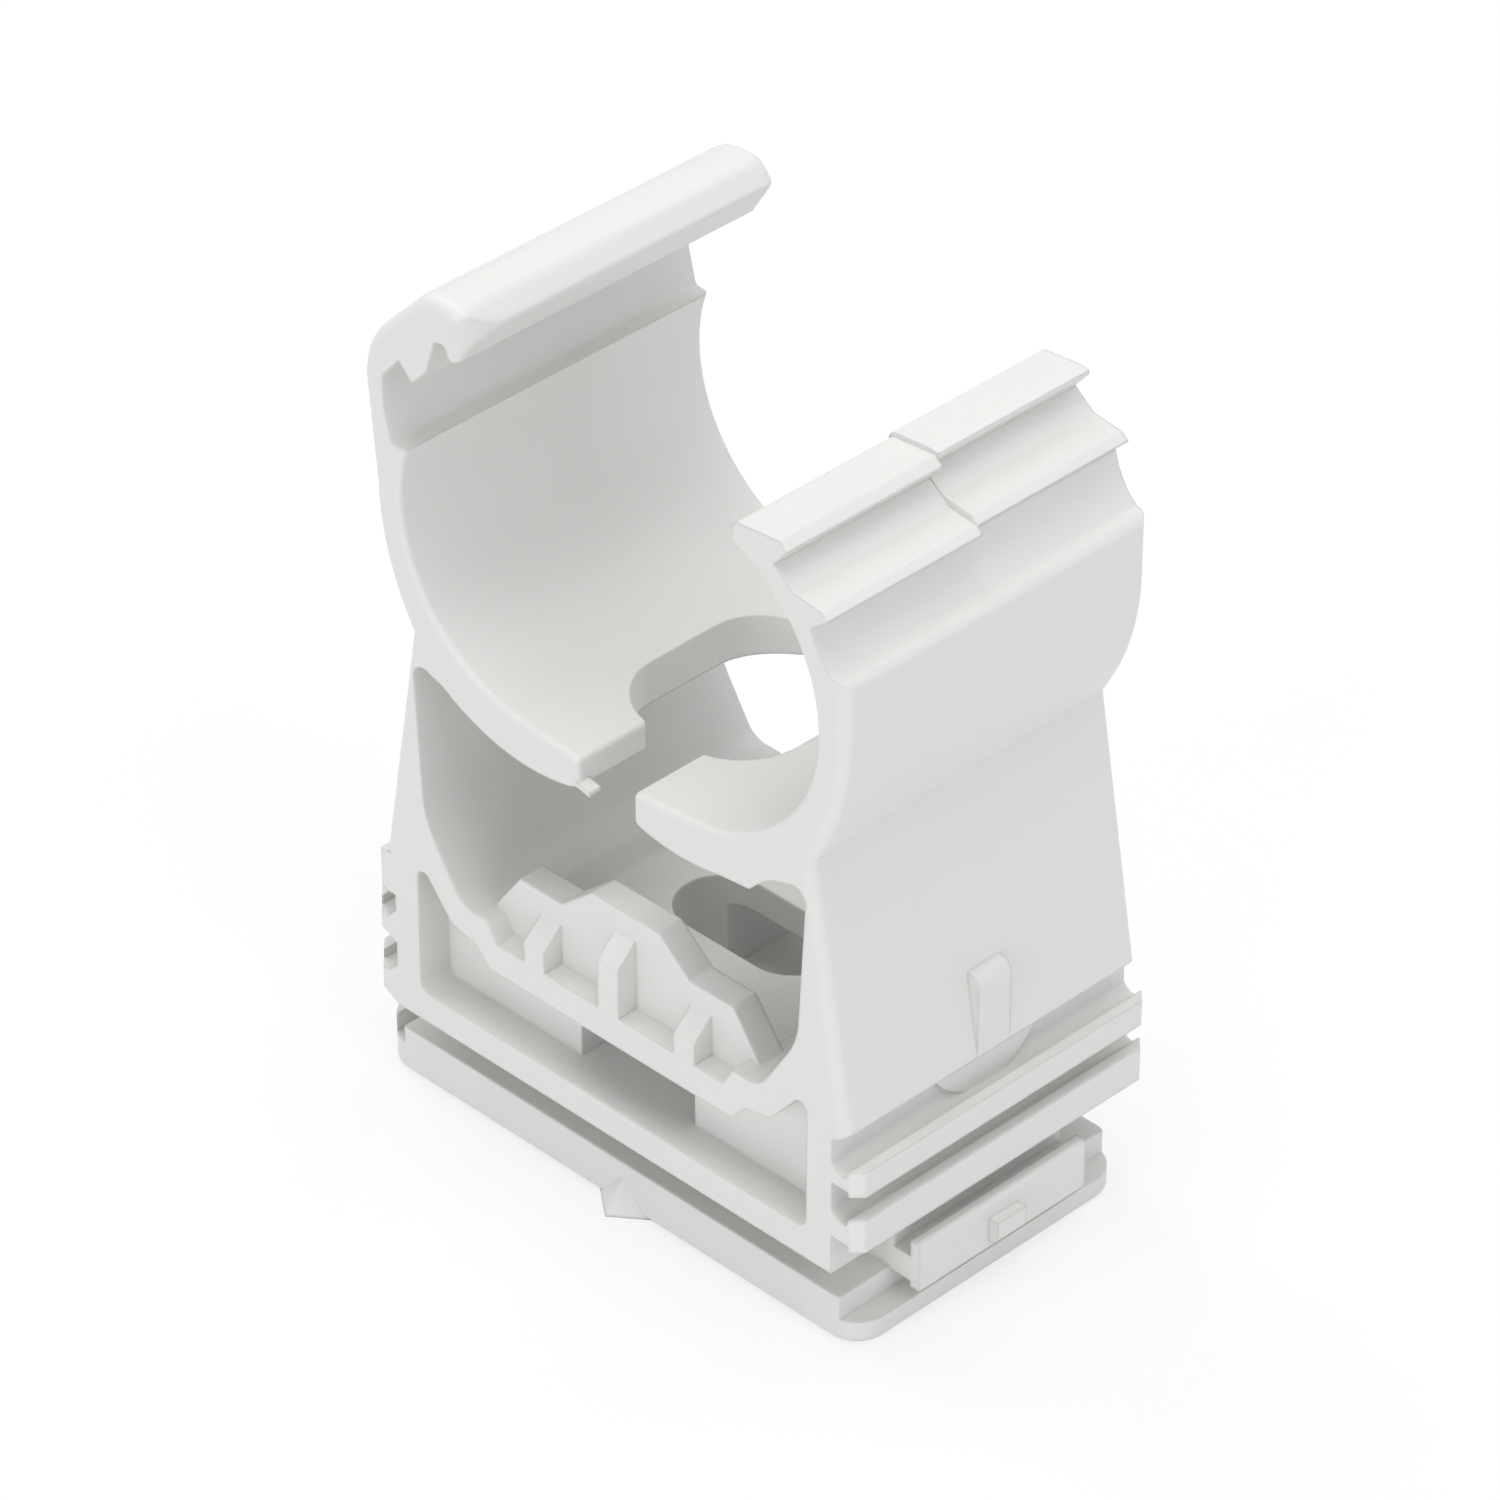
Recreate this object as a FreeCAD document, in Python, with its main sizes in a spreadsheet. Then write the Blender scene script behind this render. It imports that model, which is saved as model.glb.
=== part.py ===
"""Self-closing pipe clip: one plastic moulding with two sprung jaws on a cored block.

Millimetres, +Z up. X runs across the pipe, Y along it. The origin is the middle of the
underside of the base plate, so the clip stands on the XY plane.
"""

import FreeCAD, Part

import math
import os
import re
from dataclasses import dataclass, replace

import Sketcher

# Driving sizes. "half" sizes are measured from the middle plane of the clip, and heights from
# the underside of the base plate.
SIZES = {
    # block and walls
    "depth": 27.0,
    "under_gap": 2.8,
    "cut_clear": 1.0,
    "block_half": 20.15,
    "flare_half": 21.3,
    "flare_height": 17.8,
    "flare_drop": 0.7,
    "waist_half": 18.0,
    "waist_height": 37.4,
    "arm_half": 21.0,
    "bow_height": 47.6,
    "soft_radius": 0.9,
    "seat_soft_radius": 0.4,
    # jaws and fingers
    "seat_radius": 11.75,
    "seat_height": 47.2,
    "seat_offset": 6.8,
    "seat_end_angle": 65.0,
    "finger_slope": 5.3,
    "finger_wall": 3.25,
    "finger_end": 14.9,
    "tip_half": 2.5,
    "tip_rise": 0.75,
    "tip_heel_half": 3.3,
    "tip_round": 0.4,
    # barbs on the front of the fingers, small beaks of the parting line
    "barb_depth": 1.0,
    "beak_reach": 1.07,
    "beak_low": 32.65,
    "beak_high": 33.0,
    "barb_foot": 9.6,
    "barb_toe": 12.8,
    "barb_low": 32.85,
    "barb_heel": 14.1,
    "barb_sink": 0.05,
    "barb_cover": 0.5,
    # screwdriver opening between the fingers
    "notch_half": 6.65,
    "notch_length": 14.9,
    "notch_round": 4.5,
    # cavity under the fingers
    "cavity_half": 17.8,
    "cavity_top": 35.5,
    "cavity_round": 1.0,
    "knee_half": 17.05,
    "knee_height": 23.2,
    "knee_round": 6.0,
    "ledge_outer": 13.7,
    "ledge_round": 2.0,
    "ledge_inner": 11.3,
    "ledge_rise": 1.45,
    "floor_half": 10.4,
    "floor_height": 16.4,
    # right arm above the shoulder
    "shoulder_height": 51.8,
    "shoulder_round": 1.0,
    "shoulder_step": 1.2,
    "shoulder_rise": 0.3,
    "hollow_radius": 6.0,
    "lip_half": 11.4,
    "lip_top": 59.6,
    "lip_slope": 4.6,
    "lip_round": 0.6,
    "lip_thick": 1.4,
    # ratchet teeth on the right arm, in two rows half the depth each
    "root_half": 18.3,
    "root_height": 55.1,
    "pitch_across": 3.42,
    "pitch_up": 2.93,
    "row_shift": 0.44,
    "tooth_reach": 1.15,
    "tooth_rise": 0.85,
    "bevel_reach": 0.55,
    "bevel_rise": 0.5,
    "crease_reach": 1.64,
    "crease_drop": 1.27,
    "rim_reach": 1.13,
    "rim_rise": 1.3,
    "rim_bevel": 0.65,
    "root_cover": 0.55,
    # ratchet hook on the left arm
    "recess_height": 51.1,
    "recess_rise": 0.1,
    "recess_half": 19.1,
    "recess_round": 0.4,
    "vault_half": 19.75,
    "vault_foot": 53.8,
    "vault_height": 56.0,
    "vault_round": 0.4,
    "pawl_root_half": 18.2,
    "pawl_root_height": 57.75,
    "pawl_half": 17.02,
    "pawl_height": 56.6,
    "groove_foot_half": 15.65,
    "groove_foot_height": 58.0,
    "groove_half": 14.85,
    "groove_height": 60.6,
    "groove_rise": 0.15,
    "groove_width": 0.95,
    "groove_round": 0.4,
    "beak_half": 13.5,
    "beak_height": 59.5,
    "beak_rise": 0.1,
    "beak_width": 0.35,
    "hook_tip_half": 11.5,
    "hook_tip_height": 62.2,
    "hook_tip_round": 0.4,
    "hook_top": 63.73,
    "sweep_reach": 1.3,
    "sweep_length": 3.8,
    "hook_front_half": 12.9,
    "hook_front_round": 1.5,
    "hook_crown_half": 15.8,
    "hook_crown_round": 3.0,
    "hook_heel_half": 21.98,
    "hook_heel_height": 57.55,
    "hook_heel_round": 6.0,
    # base plate and neck
    "plate_thick": 3.6,
    "plate_right": 21.5,
    "plate_left": 23.1,
    "plate_depth": 24.8,
    "plate_corner": 2.35,
    "plate_soft": 0.45,
    "tier_half": 19.8,
    "tier_low": 1.75,
    "plate_lip": 0.9,
    "plate_lip_rise": 0.2,
    "plate_groove_width": 1.3,
    "plate_groove_floor": 2.2,
    "neck_depth": 15.5,
    "neck_left": 19.0,
    # coupling hooks on the right wall
    "hook_sink": 1.0,
    "hook_chamfer": 0.75,
    "lip_inner": 21.62,
    "lip_outer": 22.45,
    "upper_web_low": 13.78,
    "upper_lip_low": 13.4,
    "upper_lip_high": 15.37,
    "lower_web_low": 9.46,
    "lower_lip_low": 8.95,
    "lower_lip_high": 11.56,
    "lip_stand": 0.6,
    "web_hollow": 1.1,
    "hollow_sink": 0.1,
    "tab_web_low": 3.4,
    "tab_web_high": 5.4,
    "tab_lip_low": 2.95,
    "tab_lip_high": 6.7,
    "tab_round": 0.4,
    # coupling teeth on the left wall
    "bead_half": 22.26,
    "bead_high": 17.84,
    "bead_low": 15.7,
    "bead_foot": 15.4,
    "bead_foot_stand": 0.55,
    "bead_rise": 0.8,
    "bead_chamfer": 0.86,
    "claw_half": 23.15,
    "claw_width": 0.95,
    "claw_stand": 0.6,
    "claw_back_half": 21.6,
    "claw_slope": 0.8,
    "upper_claw_web": 13.3,
    "upper_claw_drop": 1.1,
    "upper_claw_foot": 11.5,
    "lower_claw_web": 8.85,
    "lower_claw_drop": 1.6,
    "claw_chamfer": 1.6,
    # windows, nut channel and cores of the block
    "window_half": 17.9,
    "window_floor": 8.8,
    "window_round": 0.8,
    "window_depth": 2.6,
    "window_peak": 19.7,
    "window_peak_round": 0.6,
    "window_knee_half": 14.65,
    "window_knee": 15.85,
    "window_step_half": 12.4,
    "window_step": 15.4,
    "window_roof_half": 11.2,
    "window_roof": 14.03,
    "channel_width": 10.5,
    "channel_wall": 2.0,
    "web_thick": 2.0,
    # screw slot
    "slot_length": 13.0,
    "slot_width": 6.5,
    # stepped crest walls and their gussets
    "crest_inset": 1.6,
    "crest_thick": 2.1,
    "crest_sink": 0.4,
    "crest_top": 23.56,
    "crest_top_half": 3.05,
    "crest_step": 21.2,
    "crest_step_half": 5.87,
    "crest_shelf_half": 9.78,
    "crest_end_half": 12.3,
    "crest_end": 17.7,
    "gusset_width": 1.9,
    "gusset_pitch": 6.9,
    "gusset_slope": 1.5,
    "side_gusset_height": 17.97,
    "middle_gusset_height": 20.26,
    # moulded marks of the middle plane
    "arrow_width": 3.0,
    "arrow_top": 24.0,
    "disc_radius": 5.4,
    "disc_low": 14.55,
    "disc_stand": 0.5,
    "stud_width": 2.7,
    "stud_stand": 0.8,
    "stud_low": 3.5,
    "stud_high": 5.3,
    "pyramid_half": 2.7,
    "pyramid_height": 3.0,
    "pyramid_reach": 1.65,
}

# Heights that follow from the driving sizes.
DERIVED = {
    "block_bottom": "plate_thick + under_gap",
    "ledge_height": "floor_height + ledge_rise",
    "seat_low": "seat_height - seat_radius",
    "finger_low": "seat_height - seat_radius - finger_wall",
}

NAMES = set(SIZES) | set(DERIVED)

SOFT = "soft"
SEAT = "seat"


@dataclass(frozen=True)
class Corner:
    """One corner of an outline, and the side that leaves it.

    across and up are written in the sizes of the sheet. A rounding blends the corner. The side
    is straight, or an arc of the radius given in left or right, the way it turns.
    """

    across: str
    up: str
    rounding: str = ""
    left: str = ""
    right: str = ""
    edge: str = ""


def bound(text):
    """Return an expression with each size replaced by its cell in the sheet."""
    def cell(word):
        return "size." + word.group() if word.group() in NAMES else word.group()

    return re.sub(r"[a-z_]+", cell, text)


def mirrored(corners):
    """Return the corners mirrored in the middle plane, in the order that goes on round."""
    result = []
    for index in reversed(range(len(corners))):
        corner = corners[index]
        before = corners[index - 1] if index else Corner("", "")
        result.append(replace(corner, across=f"-({corner.across})",
                              left=before.left, right=before.right, edge=before.edge))
    return result


class Clip:
    """The body of the clip and the steps that build its features."""

    def __init__(self, document):
        self.document = document
        self.sheet = document.addObject("Spreadsheet::Sheet", "size")
        rows = {**SIZES, **{name: "=" + text for name, text in DERIVED.items()}}
        for row, (name, content) in enumerate(rows.items(), start=1):
            self.sheet.set(f"A{row}", name)
            self.sheet.set(f"B{row}", str(content))
            self.sheet.setAlias(f"B{row}", name)
        document.recompute()
        self.body = document.addObject("PartDesign::Body", "pipe_clip")
        self.body.Label = "pipe_clip"
        self.planes = {plane.Role: plane for plane in self.body.Origin.OriginFeatures}

    def value(self, text):
        """Return the number that an expression gives now."""
        return float(self.body.evalExpression(bound(text)))

    def sketch(self, name, plane, shift=""):
        """Start a sketch on an origin plane, moved along its normal by shift."""
        sketch = self.body.newObject("Sketcher::SketchObject", name)
        sketch.AttachmentSupport = (self.planes[plane], [""])
        sketch.MapMode = "FlatFace"
        if shift:
            sketch.setExpression("AttachmentOffset.Base.z", bound(shift))
        return sketch

    def trace(self, sketch, corners):
        """Draw a closed outline held by the sizes, and return the middle of each named side."""
        points = [FreeCAD.Vector(self.value(c.across), self.value(c.up), 0) for c in corners]
        geometry, spans, marks = [], [], []
        base = sketch.GeometryCount
        count = len(corners)
        starts, ends = list(points), list(points)
        for index, corner in enumerate(corners):
            if corner.rounding:
                cut = rounding_arc(points[index - 1], points[index], points[(index + 1) % count],
                                   self.value(corner.rounding))
                starts[index], ends[index], arc, forward = cut
                geometry.append(arc)
                spans.append((base + len(geometry) - 1, forward, index, True))
            spans.append((base + len(geometry), True, index, False))
            geometry.append(None)
        for place, (number, forward, index, is_rounding) in enumerate(spans):
            if is_rounding:
                continue
            corner, following = corners[index], (index + 1) % count
            start, end = ends[index], starts[following]
            if corner.left or corner.right:
                radius = self.value(corner.left or corner.right)
                geometry[number - base] = bend(start, end, radius, bool(corner.left))
                spans[place] = (number, bool(corner.left), index, False)
            else:
                geometry[number - base] = Part.LineSegment(start, end)
        sketch.addGeometry(geometry, False)
        self.constrain(sketch, corners, points, spans)
        for number, _, index, is_rounding in spans:
            before, after = corners[index - 1].edge, corners[index].edge
            edge = (after if before == after else "") if is_rounding else after
            if edge:
                curve = geometry[number - base]
                marks.append((edge, curve.value((curve.FirstParameter + curve.LastParameter) / 2)))
        return marks

    def constrain(self, sketch, corners, points, spans):
        """Hold an outline's corners, radii and tangents."""
        rules, bindings = [], []
        first = sketch.ConstraintCount

        def add(*rule, text=""):
            rules.append(Sketcher.Constraint(*rule))
            if text:
                bindings.append((first + len(rules) - 1, bound(text)))

        sides = {index: number for number, _, index, is_rounding in spans if not is_rounding}
        for place, (number, forward, index, is_rounding) in enumerate(spans):
            next_number, next_forward, _, next_rounding = spans[(place + 1) % len(spans)]
            joint = "Tangent" if is_rounding or next_rounding else "Coincident"
            add(joint, number, 2 if forward else 1, next_number, 1 if next_forward else 2)
            corner = corners[index]
            if is_rounding:
                point = sketch.addGeometry(Part.Point(points[index]), True)
                add("PointOnObject", point, 1, sides[(index - 1) % len(corners)])
                add("PointOnObject", point, 1, sides[index])
                add("DistanceX", point, 1, points[index].x, text=corner.across)
                add("DistanceY", point, 1, points[index].y, text=corner.up)
                add("Radius", number, self.value(corner.rounding), text=corner.rounding)
                continue
            if not corner.rounding:
                start = 1 if forward else 2
                add("DistanceX", number, start, points[index].x, text=corner.across)
                add("DistanceY", number, start, points[index].y, text=corner.up)
            if corner.left or corner.right:
                radius = corner.left or corner.right
                add("Radius", number, self.value(radius), text=radius)
        sketch.addConstraint(rules)
        for number, text in bindings:
            sketch.setExpression(f".Constraints[{number}]", text)

    def pad(self, sketch, length, symmetric=True, inward=False):
        """Pad a sketch by a length, to both sides or to one."""
        pad = self.body.newObject("PartDesign::Pad", sketch.Name.replace("_outline", ""))
        pad.Profile = sketch
        pad.Midplane = symmetric
        pad.Reversed = inward
        pad.setExpression("Length", bound(length))
        return self.finish(pad)

    def pocket(self, sketch, length, symmetric=True, reverse=False):
        """Cut a sketch out of the body, and make sure that it cuts."""
        before = self.body.Shape.Volume
        pocket = self.body.newObject("PartDesign::Pocket", sketch.Name.replace("_outline", ""))
        pocket.Profile = sketch
        pocket.Midplane = symmetric
        pocket.Reversed = reverse
        pocket.setExpression("Length", bound(length))
        self.finish(pocket)
        if self.body.Shape.Volume >= before:
            raise RuntimeError(f"{pocket.Name} cuts nothing")
        return pocket

    def mirror_whole(self, name, plane):
        """Repeat the whole body on the other side of an origin plane."""
        feature = self.body.newObject("PartDesign::Mirrored", name)
        feature.TransformMode = "Whole shape"
        feature.MirrorPlane = (self.planes[plane], [""])
        self.body.Tip = feature
        return self.finish(feature)

    def blend(self, name, kind, chosen, size):
        """Fillet or chamfer the edges that the test chosen picks."""
        base = self.body.Tip
        edges = [f"Edge{number}" for number, edge in enumerate(base.Shape.Edges, start=1)
                 if chosen(edge)]
        if not edges:
            raise RuntimeError(f"{name} finds no edge")
        feature = self.body.newObject(f"PartDesign::{kind}", name)
        feature.Base = (base, edges)
        feature.setExpression("Radius" if kind == "Fillet" else "Size", bound(size))
        return self.finish(feature)

    def bevel_ends(self, name, across, size):
        """Chamfer the upright edges of the front face that lie at a place across the clip."""
        place, face = self.value(across), self.value("depth") / 2
        return self.blend(name, "Chamfer", lambda edge: runs_along(edge, "Z")
                          and abs(edge.BoundBox.YMin + face) < 1e-3
                          and abs(edge.BoundBox.XMin - place) < 1e-3, size)

    def finish(self, feature):
        """Work out a feature and stop if it failed."""
        self.document.recompute()
        if {"Invalid", "Error"} & set(feature.State):
            raise RuntimeError(f"{feature.Name} failed: {feature.getStatusString()}")
        return feature


def rounding_arc(before, corner, after, radius):
    """Return where a rounding starts and ends, its arc, and whether it turns left."""
    arriving = (corner - before).normalize()
    leaving = (after - corner).normalize()
    cross = arriving.x * leaving.y - arriving.y * leaving.x
    turn = math.acos(max(-1.0, min(1.0, arriving.dot(leaving))))
    cut = radius * math.tan(turn / 2)
    start = corner - arriving * cut
    end = corner + leaving * cut
    return end_arc(start, end, arriving, radius, cross > 0)


def end_arc(start, end, arriving, radius, turns_left):
    """Return a rounding's start, end, arc and direction from the way it is entered."""
    side = 1 if turns_left else -1
    centre = start + FreeCAD.Vector(-arriving.y, arriving.x, 0) * (radius * side)
    return start, end, arc_about(centre, radius, start, end, turns_left), turns_left


def arc_about(centre, radius, start, end, turns_left):
    """Return the arc about a centre from start to end."""
    circle = Part.Circle(centre, FreeCAD.Vector(0, 0, 1), radius)
    first = math.atan2(start.y - centre.y, start.x - centre.x)
    last = math.atan2(end.y - centre.y, end.x - centre.x)
    if not turns_left:
        first, last = last, first
    if last <= first:
        last += 2 * math.pi
    return Part.ArcOfCircle(circle, first, last)


def bend(start, end, radius, turns_left):
    """Return the arc of a radius between two corners, the short way unless they ask otherwise."""
    chord = end - start
    middle = (start + end) * 0.5
    rise = math.sqrt(max(radius ** 2 - (chord.Length / 2) ** 2, 0.0))
    side = 1 if turns_left else -1
    normal = FreeCAD.Vector(-chord.y, chord.x, 0).normalize()
    return arc_about(middle + normal * (rise * side), radius, start, end, turns_left)


def wall_corners():
    """Return the outside of one wall, from the block's foot to the widest place of the arm."""
    bow = ("(pow(arm_half - waist_half; 2) + pow(bow_height - waist_height; 2))"
           " / (2 * (arm_half - waist_half))")
    return [
        Corner("block_half", "block_bottom"),
        Corner("block_half", "flare_height - flare_drop"),
        Corner("flare_half", "flare_height", edge=SOFT),
        Corner("waist_half", "waist_height", left=bow, edge=SOFT),
        Corner("arm_half", "bow_height", edge=SOFT),
    ]


def right_arm_corners():
    """Return the right arm from its shoulder over the ratchet to the end of the seat."""
    head = "root_half - pitch_across - root_cover * 1.5"
    return [
        Corner("arm_half", "shoulder_height - shoulder_round / 2", left="shoulder_round"),
        Corner("arm_half - shoulder_round * 0.8", "shoulder_height + shoulder_round * 0.2"),
        Corner("arm_half - shoulder_step", "shoulder_height + shoulder_rise", right="hollow_radius"),
        Corner("root_half - root_cover * 0.6", "root_height + root_cover * 0.4"),
        Corner(head, "root_height + pitch_up + root_cover * 0.6"),
        Corner(head, lip_height(head)),
        Corner("lip_half", "lip_top", "lip_round"),
        Corner("lip_half", "lip_top - lip_thick"),
        Corner("seat_offset + seat_radius * cos(seat_end_angle)",
               "seat_height + seat_radius * sin(seat_end_angle)", right="seat_radius", edge=SEAT),
    ]


def lip_height(across):
    """Return the height of the lip's top, which rises gently away from the middle."""
    return f"lip_top + ({across} - lip_half) * tan(lip_slope)"


def finger_corners():
    """Return one finger and the cavity wall below it, down to the floor."""
    flat_half = "seat_offset + seat_radius * sin(finger_slope)"
    flat_height = "seat_height - seat_radius * cos(finger_slope)"
    under = "seat_radius + finger_wall"
    return [
        Corner(flat_half, flat_height, edge=SEAT),
        Corner("tip_half", f"{flat_height} - ({flat_half} - tip_half) * tan(finger_slope)",
               "tip_round", edge=SEAT),
        Corner("tip_half", "finger_low + tip_rise"),
        Corner("tip_heel_half", f"seat_height - sqrt(pow({under}; 2) - pow(seat_offset - tip_heel_half; 2))",
               left=under),
        Corner("finger_end", f"seat_height - sqrt(pow({under}; 2) - pow(finger_end - seat_offset; 2))"),
        Corner("cavity_half", "cavity_top", "cavity_round"),
        Corner("knee_half", "knee_height", "knee_round"),
        Corner("ledge_outer", "ledge_height", "ledge_round"),
        Corner("ledge_inner", "ledge_height"),
        Corner("floor_half", "floor_height"),
    ]


def left_arm_corners():
    """Return the left arm from the end of its seat round the ratchet hook to the heel."""
    return [
        Corner("-(seat_offset + sqrt(pow(seat_radius; 2) - pow(recess_height - seat_height; 2)))",
               "recess_height"),
        Corner("-recess_half", "recess_height + recess_rise", "recess_round"),
        Corner("-vault_half", "vault_foot"),
        Corner("-vault_half", "vault_height", "vault_round"),
        Corner("-pawl_root_half", "pawl_root_height"),
        Corner("-pawl_half", "pawl_height"),
        Corner("-groove_foot_half", "groove_foot_height"),
        Corner("-groove_half", "groove_height", "groove_round"),
        Corner("-(groove_half - groove_width)", "groove_height + groove_rise", "groove_round"),
        Corner("-beak_half", "beak_height"),
        Corner("-(beak_half - beak_width)", "beak_height + beak_rise"),
        Corner("-hook_tip_half", "hook_tip_height", "hook_tip_round", edge=SOFT),
        Corner("-hook_front_half", "hook_top", "hook_front_round", edge=SOFT),
        Corner("-hook_crown_half", "hook_top", "hook_crown_round", edge=SOFT),
        Corner("-hook_heel_half", "hook_heel_height", "hook_heel_round", edge=SOFT),
    ]


def build_shell(clip):
    """Pad the outline of walls, arms, fingers and hook, and soften its front edges."""
    finger = finger_corners()
    left_finger = mirrored(finger)
    left_finger[-1] = replace(left_finger[-1], right="seat_radius", edge=SEAT)
    outline = wall_corners() + right_arm_corners() + finger + left_finger + left_arm_corners()
    outline += mirrored(wall_corners())
    sketch = clip.sketch("shell_outline", "XZ_Plane")
    marks = clip.trace(sketch, outline)
    clip.pad(sketch, "depth / 2", symmetric=False)
    for edge_name, radius in ((SOFT, "soft_radius"), (SEAT, "seat_soft_radius")):
        for side_name, side in (("right", 1), ("left", -1)):
            middles = [point for name, point in marks if name == edge_name and point.x * side > 0]
            clip.blend(f"{edge_name}_{side_name}", "Fillet",
                       lambda edge: on_front_outline(edge, middles, clip.value("depth") / 2), radius)


def on_front_outline(edge, middles, face):
    """Tell whether an edge is one of the given sides of the front outline."""
    middle = edge.valueAt((edge.FirstParameter + edge.LastParameter) / 2)
    if abs(middle.y + face) > 1e-4:
        return False
    return any(math.hypot(middle.x - point.x, middle.z - point.y) < 1e-3 for point in middles)


def runs_along(edge, axis):
    """Tell whether an edge is straight and parallel to an axis."""
    box = edge.BoundBox
    lengths = {"X": box.XLength, "Y": box.YLength, "Z": box.ZLength}
    along = lengths.pop(axis)
    return along > 0.1 and max(lengths.values()) < 1e-3


def build_plate(clip):
    """Pad the base plate with its round corners, and the lip and groove of its left end."""
    sketch = clip.sketch("plate_outline", "XY_Plane")
    clip.trace(sketch, [
        Corner("plate_right", "0"),
        Corner("-plate_left", "0"),
        Corner("-plate_left", "-plate_depth / 2", "plate_corner"),
        Corner("plate_right", "-plate_depth / 2", "plate_corner"),
    ])
    clip.pad(sketch, "plate_thick", symmetric=False)
    clip.blend("plate_bottom", "Fillet", lambda edge: edge.BoundBox.ZMax < 1e-3
               and edge.BoundBox.YMin < -1e-3, "plate_soft")
    sketch = clip.sketch("plate_lip_outline", "XZ_Plane")
    clip.trace(sketch, rectangle("-plate_left", "plate_groove_floor", "plate_lip",
                                 "plate_thick + plate_lip_rise - plate_groove_floor"))
    clip.pad(sketch, "plate_depth / 2 - plate_corner", symmetric=False)
    sketch = clip.sketch("plate_groove_outline", "XZ_Plane")
    clip.trace(sketch, rectangle("-plate_left + plate_lip", "plate_groove_floor", "plate_groove_width",
                                 "plate_thick"))
    clip.pocket(sketch, "plate_depth + 2 * plate_corner")
    sketch = clip.sketch("plate_tier_outline", "XZ_Plane")
    clip.trace(sketch, rectangle("tier_half", "tier_low", "plate_right - tier_half + 1", "plate_thick"))
    clip.pocket(sketch, "plate_depth + 2 * plate_corner")


def rectangle(left, low, width, height):
    """Return the corners of a rectangle from its lower left corner."""
    return [
        Corner(left, low),
        Corner(f"{left} + {width}", low),
        Corner(f"{left} + {width}", f"{low} + {height}"),
        Corner(left, f"{low} + {height}"),
    ]


def build_neck(clip):
    """Pad the neck between plate and block, with the tab that it ends in on the right."""
    sketch = clip.sketch("neck_outline", "XZ_Plane")
    clip.trace(sketch, [
        Corner("-neck_left", "plate_thick - plate_soft"),
        Corner("tier_half - plate_soft", "plate_thick - plate_soft"),
        Corner("tier_half - plate_soft", "tab_web_low"),
        Corner("lip_inner", "tab_web_low"),
        Corner("lip_inner", "tab_lip_low"),
        Corner("lip_outer", "tab_lip_low"),
        Corner("lip_outer", "tab_lip_high", "tab_round"),
        Corner("lip_inner", "tab_lip_high"),
        Corner("lip_inner", "tab_web_high"),
        Corner("block_half", "tab_web_high"),
        Corner("block_half", "block_bottom + hook_sink"),
        Corner("-neck_left", "block_bottom + hook_sink"),
    ])
    clip.pad(sketch, "neck_depth / 2", symmetric=False)


def build_right_hooks(clip):
    """Pad the two long coupling hooks of the right wall."""
    sketch = clip.sketch("right_hooks_outline", "XZ_Plane")
    for web, low, high in (("upper_web_low", "upper_lip_low", "upper_lip_high"),
                           ("lower_web_low", "lower_lip_low", "lower_lip_high")):
        valley = f"{high} - lip_stand"
        clip.trace(sketch, [
            Corner("block_half - hook_sink", web),
            Corner("lip_inner", web),
            Corner("lip_inner", low),
            Corner("lip_outer", low),
            Corner("lip_outer", high),
            Corner("lip_inner", high),
            Corner("lip_inner - 0.2 * web_hollow", valley),
            Corner("block_half + web_hollow - hollow_sink", valley, right="web_hollow"),
            Corner("block_half - hollow_sink", f"{valley} + web_hollow"),
            Corner("block_half - hook_sink", f"{valley} + web_hollow"),
        ])
    clip.pad(sketch, "depth / 2", symmetric=False)
    clip.bevel_ends("hook_ends", "lip_outer", "hook_chamfer")


def build_left_claws(clip):
    """Pad the bead and the two claws of the left wall, which take the hooks of the next clip."""
    sketch = clip.sketch("left_claws_outline", "XZ_Plane")
    sunk = "-(block_half - hook_sink)"
    clip.trace(sketch, [
        Corner(sunk, "bead_foot"),
        Corner("-(block_half + bead_foot_stand)", "bead_foot"),
        Corner("-bead_half", "bead_low"),
        Corner("-bead_half", "bead_high"),
        Corner("-flare_half", "bead_high + bead_rise"),
        Corner(sunk, "bead_high + bead_rise"),
    ][::-1])
    for web, drop, foot in (("upper_claw_web", "upper_claw_drop", "upper_claw_foot"),
                            ("lower_claw_web", "lower_claw_drop", "block_bottom")):
        clip.trace(sketch, [
            Corner(sunk, foot),
            Corner(sunk, f"{web} + claw_slope"),
            Corner("-block_half", f"{web} + claw_slope"),
            Corner("-(block_half + claw_slope)", web),
            Corner("-(claw_half - claw_width)", web),
            Corner("-(claw_half - claw_width)", f"{web} + claw_stand"),
            Corner("-claw_half", f"{web} + claw_stand"),
            Corner("-claw_half", f"{web} - {drop} * 0.4"),
            Corner("-claw_back_half", f"{web} - {drop}"),
            Corner("-block_half", foot),
        ])
    clip.pad(sketch, "depth / 2", symmetric=False)
    clip.bevel_ends("bead_end", "-bead_half", "bead_chamfer")
    clip.bevel_ends("claw_ends", "-claw_half", "claw_chamfer")


def window_corners(inner):
    """Return one half of a window from its inner side, under the stepped floor."""
    return [
        Corner("window_half", "window_floor", "window_round"),
        Corner("window_half", "window_peak", "window_peak_round"),
        Corner("window_knee_half", "window_knee", "window_round"),
        Corner("window_step_half", "window_step"),
        Corner("window_roof_half", "window_roof"),
    ] + inner


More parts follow.
